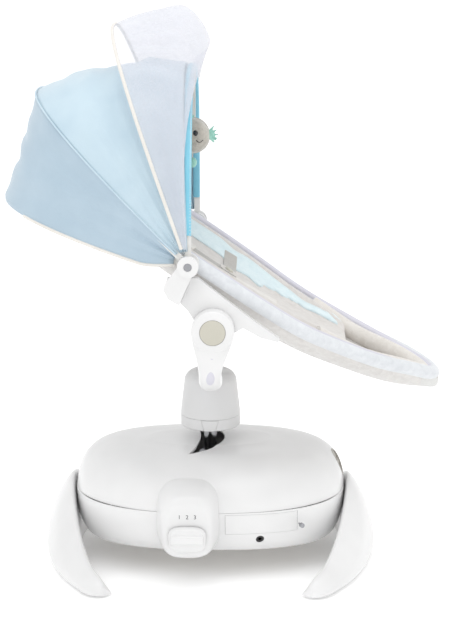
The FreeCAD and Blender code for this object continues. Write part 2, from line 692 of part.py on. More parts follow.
def build_toy():
    bow_low = PIVOT.z + HOOPS["front"][1] - BAND - 3.2
    body = Part.makeSphere(1, ORIGIN)
    matrix = FreeCAD.Matrix()
    matrix.scale(V(25, 24, 26))
    body = body.transformGeometry(matrix).translated(V(PIVOT.x, 0, TOY_Z))
    save("plush_toy", body)
    ribbon_foot = TOY_Z + 25.5
    ribbon = box(V(PIVOT.x - 6, -0.8, ribbon_foot), V(PIVOT.x + 6, 0.8, bow_low))
    save("toy_ribbon", ribbon.cut(body))
    cord = cylinder(1.2, V(PIVOT.x, 0, TOY_Z - 40), Z, 14.2).cut(body)
    drop = Part.makeSphere(7, V(PIVOT.x, 0, TOY_Z - 47))
    save("toy_drop", cord.fuse(drop))


build_base()
build_slider()
build_dial()
build_feet()
build_arm()
build_turntable()
build_seat()
build_harness()
build_brackets()
build_canopy()
build_toy()
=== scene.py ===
import bpy
import bmesh
import json
import math
from mathutils import Matrix, Vector, noise


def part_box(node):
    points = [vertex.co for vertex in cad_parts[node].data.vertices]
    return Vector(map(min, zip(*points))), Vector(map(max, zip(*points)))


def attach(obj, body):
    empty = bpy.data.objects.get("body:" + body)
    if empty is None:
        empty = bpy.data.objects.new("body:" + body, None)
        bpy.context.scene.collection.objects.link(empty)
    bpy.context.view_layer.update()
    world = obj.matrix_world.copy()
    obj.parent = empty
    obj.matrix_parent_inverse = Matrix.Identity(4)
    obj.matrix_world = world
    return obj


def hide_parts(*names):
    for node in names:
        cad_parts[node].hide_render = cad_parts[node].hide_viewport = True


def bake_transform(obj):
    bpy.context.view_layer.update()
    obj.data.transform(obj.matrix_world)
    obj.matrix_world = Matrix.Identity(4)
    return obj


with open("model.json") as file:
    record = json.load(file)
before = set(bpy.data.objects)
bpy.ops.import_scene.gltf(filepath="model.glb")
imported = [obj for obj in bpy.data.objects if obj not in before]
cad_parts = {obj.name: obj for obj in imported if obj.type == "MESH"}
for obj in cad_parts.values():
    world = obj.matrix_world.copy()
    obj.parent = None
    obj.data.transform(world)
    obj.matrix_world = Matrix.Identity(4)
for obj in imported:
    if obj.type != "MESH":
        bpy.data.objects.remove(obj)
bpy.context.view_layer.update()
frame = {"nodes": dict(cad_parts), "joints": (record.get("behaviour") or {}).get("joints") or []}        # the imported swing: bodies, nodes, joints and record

bl_info = {
    "name": "Baby swing dressing",
    "version": (1, 0, 0),
    "blender": (4, 5, 0),
    "location": "View3D > Sidebar > Baby swing",
    "description": "Dresses the packed baby swing in fabric, net, plush and moulded plastic",
    "category": "Object",
}

MM = 0.001
NODES = frame["nodes"]
JOINTS = {joint["name"]: joint for joint in frame["joints"]}
PIVOT = Vector(JOINTS["canopy_fold"]["pos_m"])      # axis that every canopy bow turns about
COLUMN_X = JOINTS["seat_turn"]["pos_m"][0]          # the post, which the seat turns on
BOW_POWER = 2.7                                     # squareness of the bows
APEX_BAND = 0.02                                    # a bow's apex is read this far to each side of the middle


# --- measuring the frame --------------------------------------------------------------------
def bow_of(node):
    """Angle, apex radius and half-width of a bow, read from its CAD node."""
    reach = [(v.co.x - PIVOT.x, v.co.z - PIVOT.z) for v in NODES[node].data.vertices
             if abs(v.co.y) < APEX_BAND]
    x = sum(p[0] for p in reach) / len(reach)
    z = sum(p[1] for p in reach) / len(reach)
    radius = max(math.hypot(*p) for p in reach)
    return math.atan2(z, x), radius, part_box(node)[1].y


REAR, MID, NET, FRONT = (bow_of(n) for n in ("rear_hoop", "mid_bow", "net_hoop", "front_bow"))


def arch(angle, radius, half, share):
    """Point on an arch about the pivot axis: share 0 is the near leg, 0.5 the apex, 1 the far leg."""
    turn = math.pi * (1 - share)
    across, rise = -math.cos(turn - math.pi), math.sin(turn)
    u = half * math.copysign(abs(across) ** (2 / BOW_POWER), across)
    r = radius * max(rise, 0.0) ** (2 / BOW_POWER)
    return PIVOT + Vector((r * math.cos(angle), u, r * math.sin(angle)))


# --- materials ------------------------------------------------------------------------------
def linear(code):
    """An sRGB hex colour such as "F0F0F0" as linear red, green, blue and alpha."""
    channels = [int(code[i:i + 2], 16) / 255 for i in (0, 2, 4)]
    return [c / 12.92 if c < 0.04045 else ((c + 0.055) / 1.055) ** 2.4 for c in channels] + [1.0]


def add(tree, kind, inputs=None, **settings):
    """Adds a node; an input given as a socket is linked, and any other value is set."""
    made = tree.nodes.new(kind)
    for name, value in settings.items():
        setattr(made, name, value)
    for name, value in (inputs or {}).items():
        if isinstance(value, bpy.types.NodeSocket):
            tree.links.new(value, made.inputs[name])
        else:
            made.inputs[name].default_value = value
    return made


def fresh(name):
    """A new material with a Principled surface, and its node tree."""
    material = bpy.data.materials.new(name)
    material.use_nodes = True
    tree = material.node_tree
    return material, tree, tree.nodes["Principled BSDF"]


def ramp(tree, factor, stops):
    """A colour ramp over (position, hex colour) stops."""
    made = add(tree, "ShaderNodeValToRGB", {"Fac": factor})
    elements = made.color_ramp.elements
    while len(elements) < len(stops):
        elements.new(0.5)
    for element, (position, code) in zip(elements, stops):
        element.position = position
        element.color = linear(code)
    return made.outputs["Color"]


def moulded(name, light, dark, roughness=0.32, grain=1.2, depth=0.05, coat=0.0):
    """Injection-moulded ABS: a fine spark-eroded grain, and a faint change of tone from flow."""
    material, tree, surface = fresh(name)
    place = add(tree, "ShaderNodeTexCoord").outputs["Object"]
    flow = add(tree, "ShaderNodeTexNoise", {"Vector": place, "Scale": 9.0, "Detail": 2.0})
    surface.inputs["Roughness"].default_value = roughness
    surface.inputs["IOR"].default_value = 1.53
    surface.inputs["Coat Weight"].default_value = coat
    surface.inputs["Coat Roughness"].default_value = 0.12
    tree.links.new(ramp(tree, flow.outputs["Fac"], [(0.3, dark), (0.7, light)]), surface.inputs["Base Color"])
    fine = add(tree, "ShaderNodeTexNoise", {"Vector": place, "Scale": 1 / (grain * MM), "Detail": 3.0})
    bump = add(tree, "ShaderNodeBump", {"Height": fine.outputs["Fac"], "Strength": depth, "Distance": 0.0002})
    rough = add(tree, "ShaderNodeMapRange", {"Value": fine.outputs["Fac"], "To Min": roughness - 0.04,
                                             "To Max": roughness + 0.05})
    tree.links.new(rough.outputs["Result"], surface.inputs["Roughness"])
    tree.links.new(bump.outputs["Normal"], surface.inputs["Normal"])
    return material


def metal(name, tint, roughness, scratch=0.6):
    """Plated or drawn steel: a plain metal whose gloss is broken by fine scratches along its length."""
    material, tree, surface = fresh(name)
    surface.inputs["Base Color"].default_value = linear(tint)
    surface.inputs["Metallic"].default_value = 1.0
    place = add(tree, "ShaderNodeTexCoord").outputs["Object"]
    stretch = add(tree, "ShaderNodeMapping", {"Vector": place, "Scale": (900.0, 900.0, 60.0)})
    lines = add(tree, "ShaderNodeTexNoise", {"Vector": stretch.outputs["Vector"], "Scale": 1.0,
                                             "Detail": 4.0})
    rough = add(tree, "ShaderNodeMapRange", {"Value": lines.outputs["Fac"],
                                             "To Min": roughness * (1 - scratch),
                                             "To Max": roughness * (1 + scratch)})
    tree.links.new(rough.outputs["Result"], surface.inputs["Roughness"])
    return material


def woven(name, thread, gap, sheen=0.35, pitch=0.9, roughness=0.75, depth=0.35, folds=None):
    """Plain weave: warp and weft threads in UV metres, drawn at a pitch of about a millimetre to show."""
    material, tree, surface = fresh(name)
    uv = add(tree, "ShaderNodeTexCoord").outputs["UV"]
    place = add(tree, "ShaderNodeTexCoord").outputs["Object"]
    split = add(tree, "ShaderNodeSeparateXYZ", {"Vector": uv})
    waves = []
    for axis in ("X", "Y"):
        turn = add(tree, "ShaderNodeMath", {0: split.outputs[axis], 1: 2 * math.pi / (pitch * MM)},
                   operation="MULTIPLY")
        waves.append(add(tree, "ShaderNodeMath", {0: turn.outputs[0]}, operation="SINE").outputs[0])
    product = add(tree, "ShaderNodeMath", {0: waves[0], 1: waves[1]}, operation="MULTIPLY").outputs[0]
    over = add(tree, "ShaderNodeMapRange", {"Value": product, "From Min": -1.0, "From Max": 1.0})
    slub = add(tree, "ShaderNodeTexNoise", {"Vector": place, "Scale": 16.0, "Detail": 4.0})
    mixed = add(tree, "ShaderNodeMix", {"Factor": 0.55, "A": over.outputs["Result"],
                                        "B": slub.outputs["Fac"]})
    colour = ramp(tree, mixed.outputs["Result"], [(0.25, gap), (0.75, thread)])
    tree.links.new(colour, surface.inputs["Base Color"])
    bump = add(tree, "ShaderNodeBump", {"Height": over.outputs["Result"], "Strength": depth,
                                        "Distance": 0.0003})
    normal = bump.outputs["Normal"]
    if folds:
        crease = add(tree, "ShaderNodeTexNoise", {"Vector": place, "Scale": folds, "Detail": 3.0,
                                                  "Distortion": 0.6})
        soft = add(tree, "ShaderNodeBump", {"Height": crease.outputs["Fac"], "Strength": 0.35,
                                            "Distance": 0.006, "Normal": normal})
        normal = soft.outputs["Normal"]
    tree.links.new(normal, surface.inputs["Normal"])
    surface.inputs["Roughness"].default_value = roughness
    surface.inputs["Sheen Weight"].default_value = sheen
    surface.inputs["Sheen Roughness"].default_value = 0.4
    return material


def pile(name, light, dark, hair=1.4, clump=9.0, sheen=0.6, depth=0.5):
    """Brushed pile such as velour or plush: soft mottling where the nap lies in different ways."""
    material, tree, surface = fresh(name)
    place = add(tree, "ShaderNodeTexCoord").outputs["Object"]
    nap = add(tree, "ShaderNodeTexNoise", {"Vector": place, "Scale": 1 / (clump * MM), "Detail": 4.0,
                                           "Distortion": 0.8})
    hairs = add(tree, "ShaderNodeTexNoise", {"Vector": place, "Scale": 1 / (hair * MM), "Detail": 3.0})
    mixed = add(tree, "ShaderNodeMix", {"Factor": 0.35, "A": nap.outputs["Fac"], "B": hairs.outputs["Fac"]})
    colour = ramp(tree, mixed.outputs["Result"], [(0.35, dark), (0.65, light)])
    tree.links.new(colour, surface.inputs["Base Color"])
    bump = add(tree, "ShaderNodeBump", {"Height": mixed.outputs["Result"], "Strength": depth,
                                        "Distance": 0.0006})
    tree.links.new(bump.outputs["Normal"], surface.inputs["Normal"])
    surface.inputs["Roughness"].default_value = 0.9
    surface.inputs["Sheen Weight"].default_value = sheen
    surface.inputs["Sheen Roughness"].default_value = 0.5
    return material


def gauze(name, thread, pitch=1.6):
    """Knitted mosquito net: bright threads round open cells, drawn at about twice their real pitch."""
    material, tree, surface = fresh(name)
    uv = add(tree, "ShaderNodeTexCoord").outputs["UV"]
    cells = add(tree, "ShaderNodeTexVoronoi", {"Vector": uv, "Scale": 1 / (pitch * MM)},
                feature="DISTANCE_TO_EDGE")
    veil = add(tree, "ShaderNodeMapRange", {"Value": cells.outputs["Distance"], "From Min": 0.05,
                                            "From Max": 0.3, "To Min": 0.62, "To Max": 0.22})
    surface.inputs["Base Color"].default_value = linear(thread)
    surface.inputs["Roughness"].default_value = 0.7
    surface.inputs["Sheen Weight"].default_value = 0.3
    tree.links.new(veil.outputs["Result"], surface.inputs["Alpha"])
    return material


def dress(piece, material):
    """Gives a piece one material and no other."""
    piece.data.materials.clear()
    piece.data.materials.append(material)
    return piece


# --- mesh tools -----------------------------------------------------------------------------
def finish_mesh(name, bm, smooth=True, material=None):
    """Turns a bmesh into a named object at the origin."""
    mesh = bpy.data.meshes.new(name)
    bm.to_mesh(mesh)
    bm.free()
    piece = bpy.data.objects.new(name, mesh)
    bpy.context.scene.collection.objects.link(piece)
    if smooth:
        mesh.shade_smooth()
    if material:
        dress(piece, material)
    return piece


def laid_grid(name, across, along, place, material=None, size=(1.0, 1.0), wrap=False):
    """A create_grid sheet whose points are moved by place(u, v), with UVs in metres."""
    bm = bmesh.new()
    bmesh.ops.create_grid(bm, x_segments=across, y_segments=along, size=0.5)
    uv = bm.loops.layers.uv.new("UVMap")
    for vert in bm.verts:
        u, v = vert.co.x + 0.5, vert.co.y + 0.5
        for loop in vert.link_loops:
            loop[uv].uv = (u * size[0], v * size[1])
        vert.co = place(u, v)
    if wrap:
        bmesh.ops.remove_doubles(bm, verts=bm.verts, dist=1e-6)
    return finish_mesh(name, bm, True, material)


def modify(piece, kind, **settings):
    """Adds a modifier, with view and render levels kept equal where it has them."""
    modifier = piece.modifiers.new(kind.title(), kind)
    for name, value in settings.items():
        setattr(modifier, name, value)
    if kind == "SUBSURF":
        modifier.render_levels = modifier.levels
    return modifier


def settle(piece):
    """Applies every modifier of a piece, so only its mesh is left."""
    graph = bpy.context.evaluated_depsgraph_get()
    graph.update()
    mesh = bpy.data.meshes.new_from_object(piece.evaluated_get(graph))
    piece.modifiers.clear()
    piece.data = mesh
    return piece


def cord_of(name, points, radius, material, cyclic=False, sides=4):
    """A round piping or string on a smooth curve through a few control points, made a mesh."""
    curve = bpy.data.curves.new(name, "CURVE")
    curve.dimensions = "3D"
    curve.bevel_depth = radius
    curve.bevel_resolution = sides
    curve.use_fill_caps = not cyclic
    spline = curve.splines.new("NURBS")
    spline.points.add(len(points) - 1)
    for slot, point in zip(spline.points, points):
        slot.co = (*point, 1.0)
    spline.order_u = 3
    spline.use_endpoint_u = not cyclic
    spline.use_cyclic_u = cyclic
    spline.resolution_u = 6
    shape = bpy.data.objects.new(name + "-line", curve)
    bpy.context.scene.collection.objects.link(shape)
    graph = bpy.context.evaluated_depsgraph_get()
    mesh = bpy.data.meshes.new_from_object(shape.evaluated_get(graph))
    mesh.name = name
    bpy.data.objects.remove(shape)
    piece = bpy.data.objects.new(name, mesh)
    bpy.context.scene.collection.objects.link(piece)
    mesh.shade_smooth()
    return dress(piece, material)


def merged_copy(node, name):
    """A copy of a CAD node's mesh with its loose triangles joined."""
    bm = bmesh.new()
    bm.from_mesh(NODES[node].data)
    bmesh.ops.remove_doubles(bm, verts=bm.verts, dist=1e-5)
    bmesh.ops.recalc_face_normals(bm, faces=bm.faces)
    return finish_mesh(name, bm)


def plump(piece, voxel, pressure, cap, pull=0.0, rounds=14):
    """Remeshes a pad, inflates it as cloth, limits how far each point goes, and smooths it twice.
    """
    if pull:
        bm = bmesh.new()
        bm.from_mesh(piece.data)
        bm.normal_update()
        for vert in bm.verts:
            vert.co -= vert.normal * pull
        bm.to_mesh(piece.data)
        bm.free()
    modify(piece, "REMESH", mode="VOXEL", voxel_size=voxel, use_smooth_shade=True)
    settle(piece)
    start = [v.co.copy() for v in piece.data.vertices]
    cloth = piece.modifiers.new("Cloth", "CLOTH")
    cloth.settings.use_pressure = True
    cloth.settings.uniform_pressure_force = pressure
    cloth.settings.effector_weights.gravity = 0.0
    cloth.settings.quality = 4
    cloth.point_cache.frame_start = 1
    cloth.point_cache.frame_end = rounds
    scene = bpy.context.scene
    for number in range(1, rounds + 1):
        scene.frame_set(number)
    settle(piece)
    scene.frame_set(1)
    for vert, home in zip(piece.data.vertices, start):
        moved = vert.co - home
        if moved.length > cap:
            vert.co = home + moved.normalized() * cap
    bm = bmesh.new()
    bm.from_mesh(piece.data)
    for _ in range(2):
        bmesh.ops.smooth_vert(bm, verts=bm.verts, factor=0.5, use_axis_x=True, use_axis_y=True,
                              use_axis_z=True)
    bm.to_mesh(piece.data)
    bm.free()
    piece.data.shade_smooth()
    return piece


# --- settings -------------------------------------------------------------------------------
def colour(label, code, about):
    """A colour setting, as an sRGB hex code."""
    return bpy.props.StringProperty(name=label, description=about + ", as sRGB hex", default=code)


def length(label, value, about, high=1.0):
    """A length setting in metres."""
    return bpy.props.FloatProperty(name=label, description=about, default=value, min=0.0, max=high,
                                   unit="LENGTH", subtype="DISTANCE")


class SwingColours(bpy.types.PropertyGroup):
    shell: colour("Shell", "E6E6E6", "Moulded housing, feet, hubs and brackets")
    shell_deep: colour("Shell in the shade", "DDDDDD", "Slower-cooled areas of the mouldings")
    cup: colour("Cup", "D8D8D8", "Cup and its ring")
    button: colour("Hub button", "C9C6BA", "Round recline buttons")
    tube: colour("Fork tube", "D2D1DA", "Powder coat on the fork and the seat loop")
    canopy: colour("Canopy", "C9DBE4", "Canopy cloth")
    canopy_gap: colour("Canopy gaps", "AFC6D4", "Shade between the canopy's threads")
    canopy_rear: colour("Canopy rear", "B4C7D4", "Rear canopy panel")
    binding: colour("Binding", "8FD3E8", "Front edge binding of the canopy")
    net: colour("Net", "DCDCE4", "Insect net thread")
    cream: colour("Cream", "ECE9E4", "Piping, ribbon and pads")
    velour: colour("Cover", "DAD8D5", "Outside of the seat cover")
    velour_deep: colour("Cover nap", "CBC8C5", "Nap of the cover that lies away from the light")
    rim: colour("Rim", "DDE0E3", "Padded rim roll")
    lining: colour("Lining", "C4C1BE", "Inside of the seat")
    aqua: colour("Aqua band", "DCE9EC", "Band inside the rim")
    plush: colour("Plush", "C3BDB3", "Body of the toy")
    mint: colour("Mint", "A9DCCD", "Fins and drop of the toy")


class SwingSizes(bpy.types.PropertyGroup):
    canopy_thick: length("Canopy cloth", 0.0012, "Thickness of the canopy cloth", 0.01)
    sag: length("Canopy sag", 0.0021, "How far the front panel dips between its bows", 0.05)
    fold: length("Canopy folds", 0.008, "Height scale of the soft folds that run out from the pivot", 0.03)
    binding_width: length("Binding half-width", 0.0068, "Half the width of the front binding", 0.05)
    skirt: length("Skirt", 0.020, "How far the canopy hangs below its rear bow", 0.08)
    net_pleat: length("Net pleat", 0.0065, "Depth scale of the pleats and puffs in the net", 0.03)
    rim_roll: length("Rim roll", 0.0115, "Radius of the padded rim roll", 0.03)
    digit_height: length("Digit height", 0.0066, "Height of the selector's digits", 0.02)
    webbing: length("Webbing", 0.024, "Width of the harness webbing", 0.06)
    camera_distance: length("Camera distance", 3.0, "Distance from the column to the camera", 20.0)
    camera_height: length("Camera height", 1.12, "Height of the camera over the floor", 5.0)


MATERIALS = {}


def make_materials(c):
    """Every finish of the swing, each named for what it is."""
    MATERIALS.update({
        # mouldings: an even satin with wide, soft highlights, duller where the part is gripped
        "shell": moulded("ABS, satin moulded", c.shell, c.shell_deep, 0.30, 1.1, 0.05, coat=0.15),
        "cup": moulded("ABS, fine texture", c.cup, "D0D0D0", 0.36, 1.0, 0.06),
        "button": moulded("Soft-touch elastomer", c.button, "BEBBAE", 0.55, 0.7, 0.12),
        "buckle": moulded("Acetal, pale grey", "D3CFCA", "CAC6C1", 0.5, 0.9, 0.08),
        "nylon": moulded("Nylon 6, moulded", "EDECE9", "E4E3DF", 0.42, 1.2, 0.06),
        "black": moulded("Polycarbonate, black", "17171A", "0F0F11", 0.35, 0.9, 0.08),
        "grey": moulded("ABS, warm grey", "B5B1AA", "A7A39C", 0.45, 0.9, 0.08),
        "rubber": moulded("Rubber, moulded", "2A2A2C", "202022", 0.8, 0.8, 0.25),
        "ink": moulded("Pad-printed ink", "3B3B3D", "333335", 0.5, 0.6, 0.04),
        "board": moulded("Solder mask", "1F5B3A", "184B30", 0.35, 0.8, 0.05),
        "cells": moulded("Printed film", "4C5058", "40444B", 0.3, 0.8, 0.03),
        "tube": moulded("Powder coat", c.tube, "CAC9D3", 0.33, 0.9, 0.10),
        # metals: grey plate on the fixings, a mirror on the post, warm wire in the coil
        "steel": metal("Zinc-plated steel", "9C9DA1", 0.32),
        "chrome": metal("Chrome-plated steel", "C9CACD", 0.10, 0.4),
        "copper": metal("Enamelled copper wire", "B5713F", 0.35),
        # cloth: a faint weave with a pale edge where it turns away from the eye
        "canopy": woven("Polyester, plain weave", c.canopy, c.canopy_gap, 0.35, 0.9, 0.48, 0.25, folds=7.0),
        "canopy_rear": woven("Polyester, rear panel", c.canopy_rear, "A3B8C7", 0.35, 0.9, 0.50, 0.25,
                             folds=7.0),
        "binding": woven("Bias binding, satin", c.binding, "74C0D8", 0.45, 0.8, 0.45, 0.3),
        "net": gauze("Knitted insect net", c.net),
        "cream": woven("Cotton piping", c.cream, "DDD9D2", 0.3, 0.8, 0.8, 0.35),
        # piles: matt and clouded where the nap has been brushed two ways
        "velour": pile("Velour cover", c.velour, c.velour_deep, 1.3, 11.0, 0.5, 0.4),
        "foot": pile("Jersey foot end", "DADAD8", "CDCDCB", 1.1, 14.0, 0.4, 0.3),
        "rim": pile("Velour rim", c.rim, "D0D3D7", 1.2, 12.0, 0.5, 0.35),
        "lining": pile("Jersey lining", c.lining, "B5B1AD", 1.2, 12.0, 0.4, 0.35),
        "insert": pile("Jersey pad", "D6D2CE", "C8C3BE", 1.2, 12.0, 0.45, 0.4),
        "aqua": pile("Aqua band", c.aqua, "CEDFE4", 1.2, 12.0, 0.4, 0.3),
        "pad": pile("Cream pad", "E2DED9", "D4CFC8", 1.2, 10.0, 0.5, 0.4),
        # harness and toy: coarse ribbed webbing, tufted plush and felt, glossy beads for eyes
        "webbing": woven("Polypropylene webbing", "C6C3BE", "A9A6A1", 0.2, 1.3, 0.7, 0.6),
        "plush": pile("Short plush", c.plush, "A39C91", 0.9, 4.0, 0.9, 0.9),
        "mint": pile("Mint felt", c.mint, "93CBBB", 0.9, 5.0, 0.6, 0.6),
        "thread": moulded("Stitching thread", "F4F6F8", "E3E6EA", 0.6, 0.5, 0.1),
        "eye": moulded("Glossy bead", "0A0A0B", "060607", 0.12, 1.0, 0.0, coat=0.6),
    })


# the finish of every CAD node that Blender keeps
NODE_FINISH = {
    "shell": ["base_dome", "base_lower_shell", "battery_door", "foot_front", "foot_rear", "selector_pod",
              "hub_shell_near", "hub_shell_far", "side_bracket_near", "side_bracket_far",
              "joint_block_near", "joint_block_far", "selector_slider"],
    "cup": ["cup_body", "cup_ring", "release_button"],
    "button": ["recline_button_near", "recline_button_far"],
    "buckle": ["harness_buckle"],
    "nylon": ["pivot_chassis", "arm_bearing", "turn_bearing", "rear_hoop", "mid_bow", "front_bow"],
    "black": ["dc_socket", "battery_box", "speaker"],
    "grey": ["base_bottom_plate", "dial_surround", "control_dial"],
    "rubber": ["foot_pads"],
    "board": ["circuit_board"],
    "cells": ["batteries"],
    "tube": ["fork_tube", "seat_frame_tube"],
    "steel": ["battery_door_screw", "arm_pivot_axle", "case_screws", "swing_arm", "drive_magnet", "post_nut",
              "recline_pins", "canopy_pivot_screws", "frame_bolts"],
    "chrome": ["post"],
    "copper": ["drive_coil"],
}


class SWING_OT_finishes(bpy.types.Operator):
    """Makes every material and gives each CAD node its own finish"""
    bl_idname = "swing.finishes"
    bl_label = "Finishes"

    def execute(self, context):
        make_materials(context.scene.swing_colours)
        for finish, nodes in NODE_FINISH.items():
            for node in nodes:
                dress(NODES[node], MATERIALS[finish])
        return {"FINISHED"}


# --- stage ----------------------------------------------------------------------------------
CAMERA_LENS = 103.5                    # millimetres
CAMERA_ASIDE = 0.092                   # metres from the post towards the foot end
CAMERA_PITCH, CAMERA_YAW = 13.2, 1.15  # degrees down, and to the left
LOOK_AT = Vector((0, 0, 0.45))         # what every lamp points at
LAMPS = (("key", (-1.2, -2.0, 2.8), 1.2, 6.0), ("fill", (2.2, -2.4, 1.6), 2.0, 1.0),
         ("top", (0.1, -0.4, 3.0), 2.0, 17.0))    # name, place, size and watts


class SWING_OT_stage(bpy.types.Operator):
    """Lays the pale floor, hangs the soft lights and sets up the camera"""
    bl_idname = "swing.stage"
    bl_label = "Stage"

    def execute(self, context):
        scene, sizes = context.scene, context.scene.swing_sizes
        bm = bmesh.new()
        bmesh.ops.create_grid(bm, x_segments=2, y_segments=2, size=40.0)
        floor = finish_mesh("floor", bm, False)
        material, _, surface = fresh("Matt studio floor")
        surface.inputs["Base Color"].default_value = linear("FFFFFF")
        surface.inputs["Roughness"].default_value = 0.85
        surface.inputs["Emission Color"].default_value = linear("FFFFFF")
        surface.inputs["Emission Strength"].default_value = 0.16
        dress(floor, material)
        world = bpy.data.worlds.new("Studio white")
        scene.world = world
        world.use_nodes = True
        world.node_tree.nodes["Background"].inputs["Color"].default_value = linear("FFFFFF")
        world.node_tree.nodes["Background"].inputs["Strength"].default_value = 1.0
        for name, place, size, power in LAMPS:
            lamp = bpy.data.lights.new(name, "AREA")
            lamp.size, lamp.energy = size, power
            holder = bpy.data.objects.new(name, lamp)
            scene.collection.objects.link(holder)
            holder.location = place
            aim = LOOK_AT - Vector(place)
            holder.rotation_euler = aim.to_track_quat("-Z", "Y").to_euler()
        camera = bpy.data.cameras.new("camera")
        camera.lens = CAMERA_LENS
        holder = bpy.data.objects.new("camera", camera)
        scene.collection.objects.link(holder)
        holder.location = (COLUMN_X + CAMERA_ASIDE, -sizes.camera_distance, sizes.camera_height)
        holder.rotation_euler = (math.radians(90 - CAMERA_PITCH), 0, math.radians(CAMERA_YAW))
        scene.camera = holder
        scene.view_settings.view_transform = "Standard"
        return {"FINISHED"}


# --- canopy ---------------------------------------------------------------------------------
LEG_TRIM = 0.0095                 # the cloth starts this share of an arch above the pivot
OVER_BOW, PAST_LEG = 0.004, 0.003 # how far the cloth lies outside a bow at its apex and at its legs
SKIRT_SHARE = 0.12                # share of the rear panel that hangs below the rear bow
SKIRT_AT_APEX = 0.25              # share of the skirt's drop that is left at the apex
SKIRT_FULL = 0.07                 # the skirt hangs fully this far behind the pivot
REAR_DIP = 0.972                  # the rear panel's radius halfway between its bows, as a share
FRONT_MIDWAY = (math.radians(112.5), 0.327, 0.2045)   # arch that the front panel swells to
FRONT_TUCK = math.radians(2.0)    # the front panel stops this far behind its bow, in the binding
REAR_SPOKES, FRONT_SPOKES = 11.0, 13.0    # how closely the folds are set round the pivot
FOLD_SINK = 0.3                   # most of each fold lies inwards, which clears the net and seam
FOLD_FULL = 0.15                  # folds reach their height this far from the pivot
BARE_LEG = 0.026                  # share of the front bow that the binding leaves bare at each leg
BOW_MIDDLE = 0.002                # a bow's middle line, inside its outer face
SLEEVE_HALF = 0.0048              # half the thickness of the binding's sleeve
SLEEVE_POWER = 0.7                # below 1, so that the sleeve's section is nearly square
SLEEVE_BACK = 0.001               # the sleeve sits this far behind the bow's middle
STITCHES = 220
STITCH_LINE = 0.10                # the stitches' place round the sleeve
PIPED_SHARE = 0.30                # share of the skirt's edge that is piped, from each leg


def trimmed(share):
    """A share of the cloth's edge as a share of its arch, which is a little longer."""
    return LEG_TRIM + (1 - 2 * LEG_TRIM) * share


def bent(arches, share, along):
    """A point on a smooth curve over three arches, at one share of each."""
    first, middle, last = (arch(*a, share) for a in arches)
    control = middle * 2 - (first + last) * 0.5
    return first * (1 - along) ** 2 + control * (2 * along * (1 - along)) + last * along ** 2


def over(bow, turn=0.0):
    """The arch that the cloth follows over a bow."""
    angle, radius, half = bow
    return angle + turn, radius + OVER_BOW, half + PAST_LEG


def wrinkle(point, share, depth, spokes):
    """A small fold height that runs out from the pivot like tension lines in the cloth."""
    away = point - PIVOT
    spoke = math.atan2(away.z, away.x)
    seed = Vector((spoke * spokes, away.length * 5.0, share * 6.0))
    return depth * (noise.noise(seed) - FOLD_SINK) * min(1.0, away.length / FOLD_FULL)


def outward(point, share):
    """Away from the canopy's middle."""
    core = PIVOT + Vector((0, (share - 0.5) * 0.2, 0))
    return (point - core).normalized()


def rear_point(u, v, sizes):
    """A point on the rear panel: u runs from leg to leg, and v from the skirt's edge to the seam."""
    share = trimmed(u)
    along = (v - SKIRT_SHARE) / (1 - SKIRT_SHARE)
    if along < 0:
        hoop = arch(*over(REAR), share)
        side = abs(2 * share - 1)
        reach = min(1.0, (hoop - PIVOT).dot(Vector((-1, 0, 0))) / SKIRT_FULL)
        drop = sizes.skirt * (SKIRT_AT_APEX + (1 - SKIRT_AT_APEX) * side ** 1.5) * max(reach, 0.0)
        return hoop + Vector((0, 0, drop * along / SKIRT_SHARE))
    midway = ((REAR[0] + MID[0]) / 2, (REAR[1] + MID[1]) / 2 * REAR_DIP, (REAR[2] + MID[2]) / 2 + 0.001)
    point = bent((over(REAR), midway, over(MID)), share, along)
    lift = wrinkle(point, share, sizes.fold, REAR_SPOKES) * math.sin(math.pi * along)
    return point + outward(point, share) * lift


def front_point(u, v, sizes):
    """A point on the front panel: u runs from leg to leg, and v from the seam to the front bow."""
    share = trimmed(u)
    point = bent((over(MID), FRONT_MIDWAY, over(FRONT, FRONT_TUCK)), share, v)
    lift = wrinkle(point, share, sizes.fold, FRONT_SPOKES) * math.sin(math.pi * v)
    return point + outward(point, share) * (lift - sizes.sag * math.sin(math.pi * v))


def binding_point(u, v, sizes):
    """A flat sleeve round the front bow: v runs once round it, starting on its outer face."""
    share = BARE_LEG + (1 - 2 * BARE_LEG) * u
    hoop = arch(FRONT[0], FRONT[1] - BOW_MIDDLE, FRONT[2] - BOW_MIDDLE, share)
    turn = 2 * math.pi * v
    wide = sizes.binding_width * (0.9 + 0.1 * math.sin(math.pi * share))
    along = math.copysign(abs(math.sin(turn)) ** SLEEVE_POWER, math.sin(turn)) * wide
    proud = math.copysign(abs(math.cos(turn)) ** SLEEVE_POWER, math.cos(turn)) * SLEEVE_HALF
    return hoop + Vector((along - SLEEVE_BACK, 0, 0)) + outward(hoop, share) * proud


